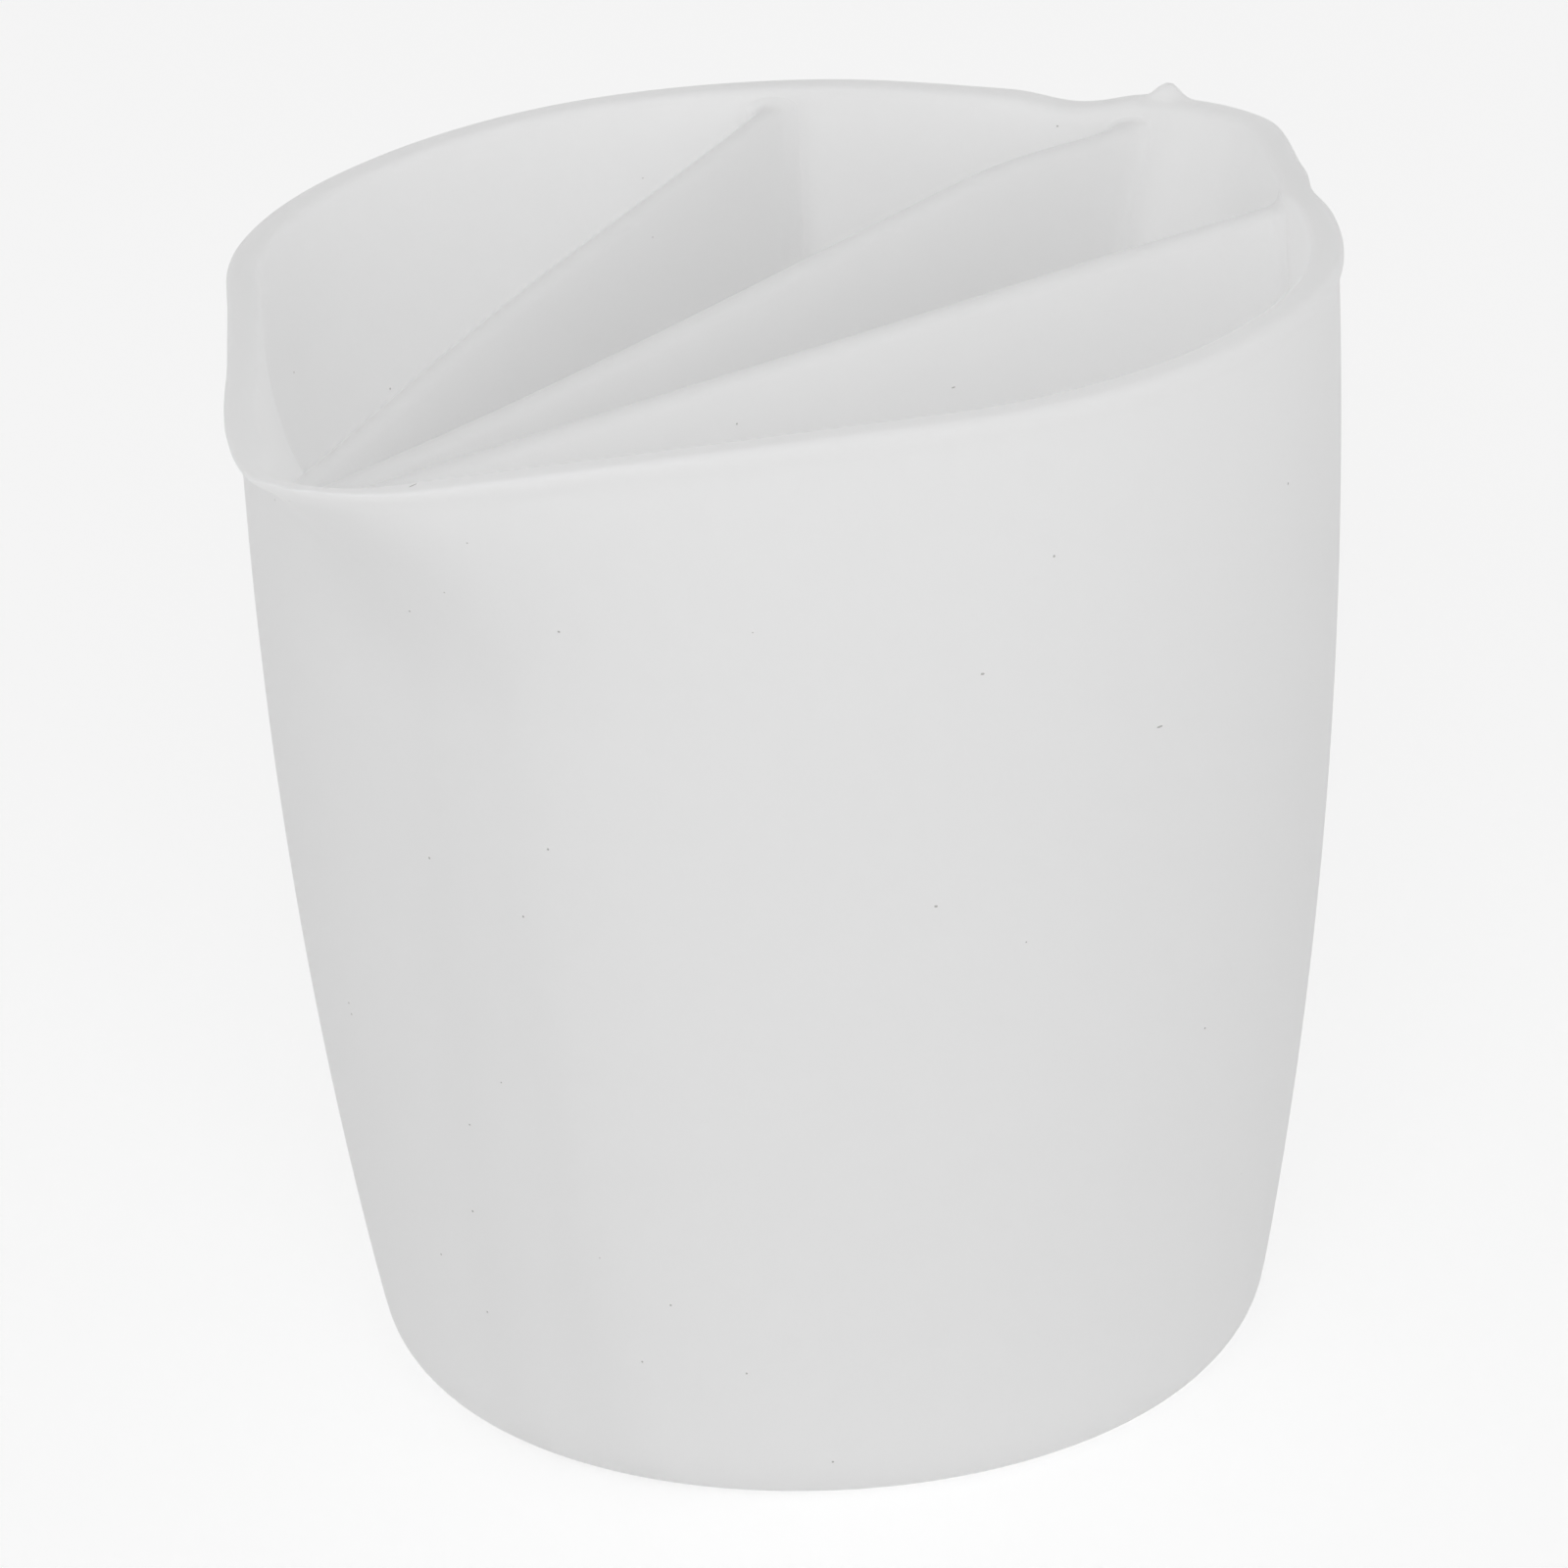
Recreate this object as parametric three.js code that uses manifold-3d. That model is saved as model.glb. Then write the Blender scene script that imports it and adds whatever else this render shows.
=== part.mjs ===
// Split pour cup: a soft silicone cup whose three dividers make four channels that run to a pouring spout.
// Millimetres, +Z up. The origin is the centre of the underside, and the front spout points to -Y.
import * as THREE from 'three';
import { mergeVertices } from 'three/addons/utils/BufferGeometryUtils.js';
import Module from 'manifold-3d';

const degrees = THREE.MathUtils.degToRad;

// Cup body: a flat foot, a round heel and a barrel-shaped side
const HEIGHT = 98;
const RIM_RADIUS = 45.3;
const FOOT_RADIUS = 29.9;
const HEEL_RADIUS = 8;
const SIDE_LEAN = degrees(10.9);
const WALL = 2.4;
const FLOOR = 3;

// Rim: a low bead round the outside of the mouth
const BEAD = 0.4;
const BEAD_HEIGHT = 2.6;
const BEAD_SLOPE = 0.5;
const EDGE_RADIUS = 0.7;

// Spouts: the rim leaves its circle along two tangents that meet in a round corner; the small rear one
// dips there and stands a little to the right of the fan's middle
const FRONT_FLANK = degrees(51.7);
const FRONT_CORNER = 12.4;
const REAR_FLANK = degrees(40.8);
const REAR_CORNER = 11.8;
const REAR_DIP = 2.4;
const REAR_TURN = degrees(-7.2);
const SPOUT_DEPTH = 26;
const SPOUT_FLARE = 1.7;

// Dividers: three plates that fan out from a point beyond the front spout
const DIVIDER_TOP_WIDTH = 1.7;
const DIVIDER_FOOT_WIDTH = 2.5;
const DIVIDER_TOP_DROP = 1.5;
const DIVIDER_LIP_DROP = 0.6;
const FAN_REACH = 71;
const FAN_STEP = degrees(14);

// Clearance between a divider and the wall that holds it
const SEAT_GAP = 0.3;

// Facets
const CORNER_STEPS = 4;
const FLANK_STEPS = 7;
const SIDE_STEPS = 14;
const LOWER_RINGS = 5;
const SPOUT_RINGS = 8;
const ARC_STEPS = 4;
const LATHE_STEPS = 80;

// The side leaves the heel's arc on the lean and reaches the rim on one quadratic curve
const heelTop = HEEL_RADIUS * (1 - Math.sin(SIDE_LEAN));
const heelRadius = FOOT_RADIUS + HEEL_RADIUS * Math.cos(SIDE_LEAN);
const bellyRadius = heelRadius + Math.tan(SIDE_LEAN) * (HEIGHT - heelTop) / 2;
const seamHeight = FLOOR + HEEL_RADIUS;

function sideRadius(z) {
  const t = (z - heelTop) / (HEIGHT - heelTop);
  return heelRadius * (1 - t) ** 2 + 2 * bellyRadius * t * (1 - t) + RIM_RADIUS * t ** 2;
}

// The inner heel's arc runs from the flat floor to the inside of the side
const innerHeel = HEEL_RADIUS - WALL;
const innerHeelTop = FLOOR + innerHeel * (1 - Math.sin(SIDE_LEAN));
const floorRadius = sideRadius(innerHeelTop) - WALL - innerHeel * Math.cos(SIDE_LEAN);

// Points of a quarter-like arc that starts flat at (radius, bottom) and climbs to the side's lean
function heelArc(radius, bottom, size, inset) {
  const arc = new THREE.Path();
  arc.absarc(radius - inset, bottom + size, size, -Math.PI / 2, -SIDE_LEAN, false);
  return arc.getPoints(ARC_STEPS);
}

const spouts = [
  { axis: -Math.PI / 2, flank: FRONT_FLANK, corner: FRONT_CORNER, dip: 0 },
  { axis: Math.PI / 2 + REAR_TURN, flank: REAR_FLANK, corner: REAR_CORNER, dip: REAR_DIP },
];

// Angle from the nearer spout's axis, and that spout
function nearSpout(angle) {
  const spout = Math.sin(angle) < 0 ? spouts[0] : spouts[1];
  const turn = Math.abs(angle - spout.axis);
  return { spout, turn: Math.min(turn, 2 * Math.PI - turn) };
}

// Distance from the cup's axis to the centre of a spout's round corner
function cornerCentre(spout) {
  return (RIM_RADIUS - spout.corner) / Math.cos(spout.flank);
}

// Angle from a spout's axis at which its round corner passes into the straight flank
function cornerEnd(spout, inset) {
  const corner = spout.corner - inset;
  return Math.atan2(corner * Math.sin(spout.flank), cornerCentre(spout) + corner * Math.cos(spout.flank));
}

// How far the rim's outline, drawn inset from its outer face, stands out from its circle
function spoutReach(angle, inset) {
  const { spout, turn } = nearSpout(angle);
  const radius = RIM_RADIUS - inset;
  if (turn >= spout.flank) return 0;
  if (turn >= cornerEnd(spout, inset)) return radius / Math.cos(spout.flank - turn) - radius;
  const centre = cornerCentre(spout);
  const across = centre * Math.sin(turn);
  return centre * Math.cos(turn) + Math.sqrt((spout.corner - inset) ** 2 - across ** 2) - radius;
}

// Height of the rim, which is level but for the dip of the rear spout
function rimHeight(angle) {
  const { spout, turn } = nearSpout(angle);
  const near = turn < spout.flank ? (1 + Math.cos(Math.PI * turn / spout.flank)) / 2 : 0;
  return HEIGHT - spout.dip * near;
}

// A point of the wall, inset from its outer face
function wallPoint(angle, z, inset) {
  const climb = Math.max(0, 1 - (rimHeight(angle) - z) / SPOUT_DEPTH) ** SPOUT_FLARE;
  const radius = sideRadius(z) - inset + climb * spoutReach(angle, inset);
  return new THREE.Vector3(radius * Math.cos(angle), radius * Math.sin(angle), z);
}

// Angles round the cup, with a point at every change between corner, flank and circle
function angleStops() {
  const stops = [];
  const run = (from, to, steps) => {
    for (let i = 0; i < steps; i += 1) stops.push(from + (to - from) * i / steps);
  };
  const [front, rear] = spouts;
  const frontEnd = cornerEnd(front, 0);
  const rearEnd = cornerEnd(rear, 0);
  run(front.axis, front.axis + frontEnd, CORNER_STEPS);
  run(front.axis + frontEnd, front.axis + front.flank, FLANK_STEPS);
  run(front.axis + front.flank, rear.axis - rear.flank, SIDE_STEPS);
  run(rear.axis - rear.flank, rear.axis - rearEnd, FLANK_STEPS);
  run(rear.axis - rearEnd, rear.axis + rearEnd, 2 * CORNER_STEPS);
  run(rear.axis + rearEnd, rear.axis + rear.flank, FLANK_STEPS);
  run(rear.axis + rear.flank, 2 * Math.PI + front.axis - front.flank, SIDE_STEPS);
  run(2 * Math.PI + front.axis - front.flank, 2 * Math.PI + front.axis - frontEnd, FLANK_STEPS);
  run(2 * Math.PI + front.axis - frontEnd, 2 * Math.PI + front.axis, CORNER_STEPS);
  return stops;
}

const angles = angleStops();

// A ring of the wall that follows the rim at a set depth below it
function wallRing(inset, below) {
  return angles.map((angle) => wallPoint(angle, rimHeight(angle) - below, inset));
}

function levelRing(inset, z) {
  return angles.map((angle) => wallPoint(angle, z, inset));
}

function roundRing(radius, z) {
  return angles.map((angle) => new THREE.Vector3(radius * Math.cos(angle), radius * Math.sin(angle), z));
}

// Rings that climb the side from the seam to a given depth below the rim
function climb(inset, below) {
  const rings = [];
  const flareStart = HEIGHT - SPOUT_DEPTH - REAR_DIP;
  for (let i = 0; i < LOWER_RINGS; i += 1) {
    rings.push(levelRing(inset, seamHeight + (flareStart - seamHeight) * i / LOWER_RINGS));
  }
  for (let i = 0; i <= SPOUT_RINGS; i += 1) {
    const share = i / SPOUT_RINGS;
    rings.push(angles.map((angle) => {
      const top = rimHeight(angle) - below;
      return wallPoint(angle, flareStart + (top - flareStart) * share, inset);
    }));
  }
  return rings;
}

// Skins a stack of rings: joined end to end, or closed by a point over the first and last ring
function loft(rings, caps) {
  const count = rings[0].length;
  const points = rings.flat();
  const faces = [];
  const last = caps ? rings.length - 1 : rings.length;
  for (let i = 0; i < last; i += 1) {
    const low = i * count;
    const high = ((i + 1) % rings.length) * count;
    for (let j = 0; j < count; j += 1) {
      const next = (j + 1) % count;
      faces.push(low + j, low + next, high + next);
      faces.push(low + j, high + next, high + j);
    }
  }
  if (caps) {
    const top = (rings.length - 1) * count;
    points.push(...caps);
    for (let j = 0; j < count; j += 1) {
      const next = (j + 1) % count;
      faces.push(next, j, points.length - 2);
      faces.push(top + j, top + next, points.length - 1);
    }
  }
  const geometry = new THREE.BufferGeometry().setFromPoints(points);
  geometry.setIndex(faces);
  geometry.computeVertexNormals();
  return geometry;
}

// The rim's section: bead, rounded outer edge, flat top, rounded inner edge
function rimRings() {
  const rings = [wallRing(-BEAD, BEAD_HEIGHT - BEAD_SLOPE)];
  for (let i = 0; i <= ARC_STEPS; i += 1) {
    const turn = Math.PI / 2 * i / ARC_STEPS;
    rings.push(wallRing(EDGE_RADIUS * (1 - Math.cos(turn)) - BEAD, EDGE_RADIUS * (1 - Math.sin(turn))));
  }
  for (let i = 0; i <= ARC_STEPS; i += 1) {
    const turn = Math.PI / 2 * i / ARC_STEPS;
    rings.push(wallRing(WALL - EDGE_RADIUS * (1 - Math.sin(turn)), EDGE_RADIUS * (1 - Math.cos(turn))));
  }
  return rings;
}

function cupWall() {
  const outside = climb(0, BEAD_HEIGHT);
  const inside = climb(WALL, EDGE_RADIUS).reverse();
  return loft([...outside, ...rimRings(), ...inside.slice(1)]);
}

function cupBase() {
  const side = (inset, z) => new THREE.Vector2(sideRadius(z) - inset, z);
  const profile = [
    new THREE.Vector2(0, 0),
    ...heelArc(FOOT_RADIUS, 0, HEEL_RADIUS, 0),
    side(0, seamHeight),
    side(WALL, seamHeight),
    ...heelArc(floorRadius, FLOOR, innerHeel, 0).reverse(),
    new THREE.Vector2(0, FLOOR),
  ];
  return new THREE.LatheGeometry(profile, LATHE_STEPS).rotateX(Math.PI / 2);
}

// The room inside the cup that the dividers fill, a clearance away from the wall
function hollow() {
  const inset = WALL + SEAT_GAP;
  const heel = heelArc(floorRadius, FLOOR, innerHeel, SEAT_GAP).map((point) => roundRing(point.x, point.y));
  const caps = [new THREE.Vector3(0, 0, FLOOR), new THREE.Vector3(0, 0, HEIGHT - DIVIDER_LIP_DROP)];
  return loft([...heel, ...climb(inset, DIVIDER_LIP_DROP)], caps);
}

const wasm = await Module();
wasm.setup();

function toSolid(geometry) {
  const bare = geometry.clone();
  bare.deleteAttribute('normal');
  bare.deleteAttribute('uv');
  const merged = mergeVertices(bare);
  return new wasm.Manifold(new wasm.Mesh({
    numProp: 3,
    vertProperties: new Float32Array(merged.attributes.position.array),
    triVerts: new Uint32Array(merged.index.array),
  }));
}

function toGeometry(solid) {
  const { vertProperties, triVerts } = solid.getMesh();
  const geometry = new THREE.BufferGeometry();
  geometry.setAttribute('position', new THREE.BufferAttribute(vertProperties, 3));
  geometry.setIndex(new THREE.BufferAttribute(triVerts, 1));
  geometry.computeVertexNormals();
  return geometry;
}

// A tapered plate with a round top edge that stands on the floor, before the wall trims its ends
function dividerPlate(heading) {
  const edge = DIVIDER_TOP_WIDTH / 2;
  const foot = DIVIDER_FOOT_WIDTH / 2;
  const section = new THREE.Shape();
  section.moveTo(-foot, FLOOR);
  section.lineTo(foot, FLOOR);
  section.absarc(0, HEIGHT - DIVIDER_TOP_DROP - edge, edge, 0, Math.PI, false);
  section.closePath();
  const plate = new THREE.ExtrudeGeometry(section, {
    depth: 2 * FAN_REACH,
    curveSegments: 2 * ARC_STEPS,
    bevelEnabled: false,
  });
  const up = new THREE.Vector3(0, 0, 1);
  const along = new THREE.Vector3(Math.cos(heading), Math.sin(heading), 0);
  const across = up.clone().cross(along);
  const start = new THREE.Vector3(0, -FAN_REACH, 0);
  return plate.applyMatrix4(new THREE.Matrix4().makeBasis(across, up, along).setPosition(start));
}

const room = toSolid(hollow());

function divider(step) {
  const heading = Math.PI / 2 + step * FAN_STEP;
  return toGeometry(toSolid(dividerPlate(heading)).intersect(room));
}

function silicone() {
  return new THREE.MeshStandardMaterial({ color: 0xe3e4e3, roughness: 0.55, metalness: 0 });
}

function piece(name, geometry) {
  const mesh = new THREE.Mesh(geometry, silicone());
  mesh.name = name;
  return mesh;
}

const cup = new THREE.Group();
cup.add(piece('cup_base', cupBase()));
cup.add(piece('cup_wall', cupWall()));
cup.add(piece('divider_left', divider(1)));
cup.add(piece('divider_middle', divider(0)));
cup.add(piece('divider_right', divider(-1)));

export default cup;
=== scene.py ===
"""Split pour cup: a milky silicone moulding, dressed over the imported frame.

The cup has a barrel-shaped wall, two pouring spouts and three fanned dividers.
Lengths are in metres, +Z is up and the front spout points to -Y.
"""

import logging
import math
from dataclasses import dataclass
from enum import Enum
from typing import Any, Callable, Dict, List, Optional, Sequence, Tuple, Union

import bpy
from mathutils import Matrix, Vector

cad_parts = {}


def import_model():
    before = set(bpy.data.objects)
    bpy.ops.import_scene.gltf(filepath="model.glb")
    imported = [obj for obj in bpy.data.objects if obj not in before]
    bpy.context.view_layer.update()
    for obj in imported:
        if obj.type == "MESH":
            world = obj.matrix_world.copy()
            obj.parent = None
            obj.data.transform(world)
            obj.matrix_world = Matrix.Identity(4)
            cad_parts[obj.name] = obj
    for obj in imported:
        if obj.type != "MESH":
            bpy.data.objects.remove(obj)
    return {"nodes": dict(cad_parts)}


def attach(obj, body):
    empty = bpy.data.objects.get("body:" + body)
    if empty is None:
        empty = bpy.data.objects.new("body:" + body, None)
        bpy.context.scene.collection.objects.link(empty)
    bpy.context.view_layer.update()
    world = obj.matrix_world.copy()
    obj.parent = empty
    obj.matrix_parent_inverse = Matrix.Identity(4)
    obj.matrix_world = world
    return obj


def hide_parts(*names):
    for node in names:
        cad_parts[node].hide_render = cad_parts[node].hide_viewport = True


MM = 0.001
# Height of the cup's middle, which the camera and the lamps face
CUP_MIDDLE = 49.0 * MM
# Distance within which doubled points become one
WELD = 0.001 * MM
# Numbers of a Mix node's colour sockets
MIX_RESULT = 2
MIX_FIRST = 6
MIX_SECOND = 7
LOG = logging.getLogger("split_pour_cup")

Point = Tuple[float, float]
Colour = Tuple[float, float, float, float]
Value = Union["Socket", float]


class Body(Enum):
    """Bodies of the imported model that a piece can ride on."""

    ROOT = "root"


class Slot(Enum):
    """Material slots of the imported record."""

    SILICONE = "silicone"


class Plate(Enum):
    """Dividers of the fan, each with its steps from the middle one."""

    LEFT = 1
    MIDDLE = 0
    RIGHT = -1

    @property
    def node(self) -> str:
        """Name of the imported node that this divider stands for."""
        return f"divider_{self.name.lower()}"


def ease(share: float) -> float:
    """Smooth step from 0 to 1, flat at both ends."""
    held = min(1.0, max(0.0, share))
    return held * held * (3.0 - 2.0 * held)


def crowd_ends(share: float, pull: float) -> float:
    """Moves shares of a length towards both of its ends.

    Args:
        share: Place along the length, from 0 to 1.
        pull: How strongly places crowd, from 0 to just under 1.

    Returns:
        The moved place, from 0 to 1.
    """
    return share - pull / math.tau * math.sin(math.tau * share)


def towards(azimuth: float, elevation: float) -> Vector:
    """Direction from the cup to a place around it.

    Args:
        azimuth: Turn round the cup from its front spout.
        elevation: Height above the horizon.

    Returns:
        A vector of length 1.
    """
    flat = math.cos(elevation)
    return Vector((flat * math.sin(azimuth), -flat * math.cos(azimuth), math.sin(elevation)))


class Socket:
    """A node's output on which Python's operators add Math nodes."""

    def __init__(self, graph: "Graph", output: bpy.types.NodeSocket) -> None:
        """Keeps the graph and the output that the value comes from."""
        self.graph = graph
        self.output = output

    def __add__(self, other: Value) -> "Socket":
        """Sum of two values."""
        return self.graph.math("ADD", self, other)

    def __sub__(self, other: Value) -> "Socket":
        """This value less another."""
        return self.graph.math("SUBTRACT", self, other)

    def __rsub__(self, other: Value) -> "Socket":
        """Another value less this one."""
        return self.graph.math("SUBTRACT", other, self)

    def __mul__(self, other: Value) -> "Socket":
        """Product of two values."""
        return self.graph.math("MULTIPLY", self, other)

    def __lt__(self, other: Value) -> "Socket":
        """1 where this value is the smaller one, and 0 elsewhere."""
        return self.graph.math("LESS_THAN", self, other)

    def __gt__(self, other: Value) -> "Socket":
        """1 where this value is the greater one, and 0 elsewhere."""
        return self.graph.math("GREATER_THAN", self, other)

    def __or__(self, other: Value) -> "Socket":
        """The greater of two values."""
        return self.graph.math("MAXIMUM", self, other)


class Graph:
    """A node tree that is being made."""

    def __init__(self, tree: bpy.types.NodeTree) -> None:
        """Empties a tree and keeps it."""
        tree.nodes.clear()
        self.tree = tree

    def node(
        self,
        kind: str,
        settings: Optional[Dict[str, Any]] = None,
        inputs: Optional[Dict[str, Any]] = None,
    ) -> bpy.types.Node:
        """Adds one node.

        Args:
            kind: The node's type.
            settings: Properties of the node, which are set first.
            inputs: Values or links of its sockets, by name or number.

        Returns:
            The new node.
        """
        made = self.tree.nodes.new(kind)
        for name, value in (settings or {}).items():
            setattr(made, name, value)
        for name, value in (inputs or {}).items():
            if isinstance(value, Socket):
                self.tree.links.new(value.output, made.inputs[name])
            else:
                made.inputs[name].default_value = value
        return made

    def take(
        self,
        output: Union[str, int],
        kind: str,
        settings: Optional[Dict[str, Any]] = None,
        inputs: Optional[Dict[str, Any]] = None,
    ) -> Socket:
        """Adds one node and takes one of its outputs.

        Args:
            output: Name or number of the output.
            kind: The node's type.
            settings: Properties of the node.
            inputs: Values or links of its sockets.

        Returns:
            The output, ready for expressions.
        """
        return Socket(self, self.node(kind, settings, inputs).outputs[output])

    def math(self, operation: str, first: Value, second: Value) -> Socket:
        """Adds a Math node on two values."""
        return self.take("Value", "ShaderNodeMath", {"operation": operation}, {0: first, 1: second})

    def blend(self, share: Value, first: Any, second: Any) -> Socket:
        """Mixes two colours by a share.

        Args:
            share: How much of the second colour shows.
            first: Colour or link at share 0.
            second: Colour or link at share 1.

        Returns:
            The mixed colour.
        """
        inputs = {0: share, MIX_FIRST: first, MIX_SECOND: second}
        return self.take(MIX_RESULT, "ShaderNodeMix", {"data_type": "RGBA"}, inputs)


@dataclass(frozen=True)
class MilkySilicone:
    """Milky, translucent silicone with the satin skin of a blasted mould.

    Attributes:
        body: Colour of the silicone.
        cloud: Colour where the silicone is a little denser.
        dust: Colour of the dust that clings to it.
        cloud_scale: Clouds for each metre.
        cloud_detail: Octaves of the clouds.
        dust_scale: Grid of dust grains for each metre.
        dust_size: Radius of a grain as a share of its cell.
        dust_share: Share of the cells that hold no speck.
        lint_scale: Grid of lint hairs for each metre.
        lint_size: Half of a hair's width as a share of its cell.
        lint_stretch: Length of a hair over its width.
        lint_turn: Turn of the hairs about each axis.
        satin: Roughness of the skin.
        satin_spread: How far the roughness wanders.
        satin_scale: Wanderings of the roughness for each metre.
        satin_detail: Octaves of the roughness.
        grain_scale: Grains of the mould's skin for each metre.
        ripple_scale: Soft ripples of the skin for each metre.
        grain_depth: Height of the grains.
        ripple_depth: Height of the ripples.
        skin_detail: Octaves of the grains and the ripples.
        glow: Share of the light that goes on through the skin.
        bend: Index of refraction.
    """

    body: Colour = (0.986, 0.986, 0.986, 1.0)
    cloud: Colour = (0.978, 0.978, 0.978, 1.0)
    dust: Colour = (0.34, 0.33, 0.31, 1.0)
    cloud_scale: float = 34.0
    cloud_detail: float = 2.0
    dust_scale: float = 210.0
    dust_size: float = 0.022
    dust_share: float = 0.45
    lint_scale: float = 270.0
    lint_size: float = 0.026
    lint_stretch: float = 6.0
    lint_turn: Tuple[float, float, float] = (0.5, 0.9, 0.4)
    satin: float = 0.65
    satin_spread: float = 0.16
    satin_scale: float = 102.0
    satin_detail: float = 3.0
    grain_scale: float = 2600.0
    ripple_scale: float = 190.0
    grain_depth: float = 0.012 * MM
    ripple_depth: float = 0.03 * MM
    skin_detail: float = 1.0
    glow: float = 0.34
    bend: float = 1.41

    def material(self, name: str) -> bpy.types.Material:
        """Makes the finish as a node material.

        Args:
            name: Name of the material.

        Returns:
            The new material.
        """
        made = bpy.data.materials.new(name)
        made.use_nodes = True
        graph = Graph(made.node_tree)
        place = graph.take("Object", "ShaderNodeTexCoord")
        skin = graph.take(
            0,
            "ShaderNodeBsdfPrincipled",
            None,
            {
                "Base Color": self._colour(graph, place),
                "Roughness": self._roughness(graph, place),
                "Normal": self._skin(graph, place),
                "IOR": self.bend,
            },
        )
        through = graph.take(0, "ShaderNodeBsdfTranslucent", None, {"Color": self.body})
        milky = graph.take(0, "ShaderNodeMixShader", None, {0: self.glow, 1: skin, 2: through})
        graph.node("ShaderNodeOutputMaterial", None, {"Surface": milky})
        return made

    def _noise(self, graph: Graph, place: Socket, scale: float, detail: float) -> Socket:
        """Noise of a given scale on the piece's own coordinates."""
        inputs = {"Vector": place, "Scale": scale, "Detail": detail}
        return graph.take(0, "ShaderNodeTexNoise", None, inputs)

    def _colour(self, graph: Graph, place: Socket) -> Socket:
        """Clouded colour with stray grains of dust and hairs of lint.

        Args:
            graph: The material's graph.
            place: Coordinates on the piece.

        Returns:
            The colour.
        """
        clouds = self._noise(graph, place, self.cloud_scale, self.cloud_detail)
        tone = graph.blend(clouds, self.body, self.cloud)
        across = {
            "Vector": place,
            "Rotation": self.lint_turn,
            "Scale": (1.0, 1.0 / self.lint_stretch, 1.0),
        }
        combed = graph.take("Vector", "ShaderNodeMapping", None, across)
        grains = self._specks(graph, place, self.dust_scale, self.dust_size)
        hairs = self._specks(graph, combed, self.lint_scale, self.lint_size)
        return graph.blend(grains | hairs, tone, self.dust)

    def _specks(self, graph: Graph, place: Socket, scale: float, size: float) -> Socket:
        """Stray specks, with none in a share of the cells.

        Args:
            graph: The material's graph.
            place: Coordinates on the piece.
            scale: Cells for each metre.
            size: Radius of a speck as a share of its cell.

        Returns:
            1 on a speck and 0 elsewhere.
        """
        cells = graph.node("ShaderNodeTexVoronoi", None, {"Vector": place, "Scale": scale})
        away = Socket(graph, cells.outputs["Distance"])
        colour = Socket(graph, cells.outputs["Color"])
        chance = graph.take("Red", "ShaderNodeSeparateColor", None, {0: colour})
        return (away < size) * (self.dust_share < chance)

    def _roughness(self, graph: Graph, place: Socket) -> Socket:
        """Satin roughness that wanders a little over the surface."""
        wander = self._noise(graph, place, self.satin_scale, self.satin_detail)
        return (wander - 0.5) * self.satin_spread + self.satin

    def _skin(self, graph: Graph, place: Socket) -> Socket:
        """Fine grain on soft ripples, as the mould leaves them.

        Args:
            graph: The material's graph.
            place: Coordinates on the piece.

        Returns:
            The bumped normal.
        """
        grain = self._noise(graph, place, self.grain_scale, self.skin_detail)
        ripple = self._noise(graph, place, self.ripple_scale, self.skin_detail)
        height = grain * self.grain_depth + ripple * self.ripple_depth
        inputs = {"Height": height, "Strength": 1.0, "Distance": 1.0}
        return graph.take("Normal", "ShaderNodeBump", None, inputs)


@dataclass(frozen=True)
class Spout:
    """A pouring spout: two tangents of the rim that meet in a round corner.

    Attributes:
        axis: Direction of the spout.
        flank: Angle from the axis at which the tangents leave the rim's circle.
        corner: Radius of the round corner.
        dip: How far the lip dips below the rim.
        tightening: How much faster than the wall is thick the corner tightens inwards.
    """

    axis: float
    flank: float
    corner: float
    dip: float
    tightening: float

    def turn(self, angle: float) -> float:
        """Angle between a direction and the spout's axis."""
        away = abs(angle - self.axis) % math.tau
        return min(away, math.tau - away)


@dataclass(frozen=True)
class Waver:
    """A small departure of the soft rim from its drawn line.

    Attributes:
        angle: Direction of its middle from the cup's axis.
        half_width: Angle from its middle to its end.
        out: How far the rim stands out there.
        rise: How far the rim stands up there.
    """

    angle: float
    half_width: float
    out: float
    rise: float

    def share(self, angle: float) -> float:
        """How much of it shows in a direction, from 0 to 1."""
        away = abs((angle - self.angle + math.pi) % math.tau - math.pi)
        return ease(1.0 - away / self.half_width)


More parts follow.
